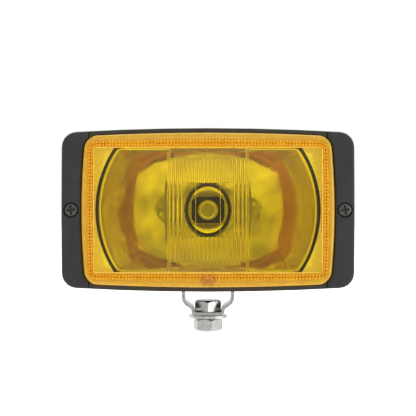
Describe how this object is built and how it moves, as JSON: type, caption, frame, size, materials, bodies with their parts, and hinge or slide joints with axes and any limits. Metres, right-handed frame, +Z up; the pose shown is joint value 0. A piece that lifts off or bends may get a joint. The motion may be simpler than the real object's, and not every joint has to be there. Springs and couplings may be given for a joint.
{
  "type": "fog light",
  "caption": "Rectangular amber fog light with a fluted lens, black housing and end clamps, on a bolted U bracket that tilts and swivels.",
  "frame": {"origin": "on the mounting bolt's axis at the underside of the bracket's foot, where a panel is clamped", "axes": "+X to the right as the lens is looked at, lens facing -Y, +Z up from the panel to the lamp"},
  "size_m": [0.183, 0.079, 0.1301],
  "materials": {
    "zinc_plated_steel": "bright zinc plate",
    "black_moulding": "satin moulded plastic",
    "clamp_moulding": "fine grained moulded plastic",
    "dark_screw_steel": "dulled plated screw",
    "amber_glass": "pressed amber glass, fluted",
    "black_rubber": "matt",
    "reflector_metal": "bright metallised",
    "plain_steel": "pressed steel",
    "quartz_glass": "clear",
    "tungsten": "drawn wire",
    "lead_insulation": "sleeved lead",
    "brass": "stamped"
  },
  "bodies": {
    "mount": {"mounting_nut": "zinc_plated_steel", "mounting_washer": "zinc_plated_steel"},
    "swivel": {"mounting_bracket": "zinc_plated_steel", "mounting_bolt": "zinc_plated_steel", "pivot_bolt": "zinc_plated_steel", "pivot_nut": "zinc_plated_steel", "pivot_washer_left": "zinc_plated_steel", "pivot_washer_right": "zinc_plated_steel"},
    "lamp": {"rear_housing": "black_moulding", "side_clamp_left": "clamp_moulding", "side_clamp_right": "clamp_moulding", "clamp_screw_left": "dark_screw_steel", "clamp_screw_right": "dark_screw_steel", "lens": "amber_glass", "lens_seal": "black_rubber", "reflector": "reflector_metal", "reflector_screw_left": "plain_steel", "reflector_screw_right": "plain_steel", "bulb_holder": "plain_steel", "bulb_base": "plain_steel", "bulb_glass": "quartz_glass", "bulb_filament": "tungsten", "clip_bracket": "plain_steel", "bulb_lead": "lead_insulation", "bulb_connector": "black_rubber", "earth_tab": "brass", "cable_grommet": "black_rubber"},
    "clip": {"bulb_clip": "plain_steel"}
  },
  "joints": [
    {"name": "swivel", "type": "hinge", "parent": "mount", "child": "swivel", "pos_m": [0, 0, 0], "axis": [0, 0, 1], "continuous": true},
    {"name": "tilt", "type": "hinge", "parent": "swivel", "child": "lamp", "pos_m": [0, 0, 0.0206], "axis": [1, 0, 0], "range_deg": [-35, 25]},
    {"name": "bulb_clip_hinge", "type": "hinge", "parent": "lamp", "child": "clip", "pos_m": [0, 0.01404, 0.0822], "axis": [1, 0, 0], "range_deg": [0, 20]}
  ]
}
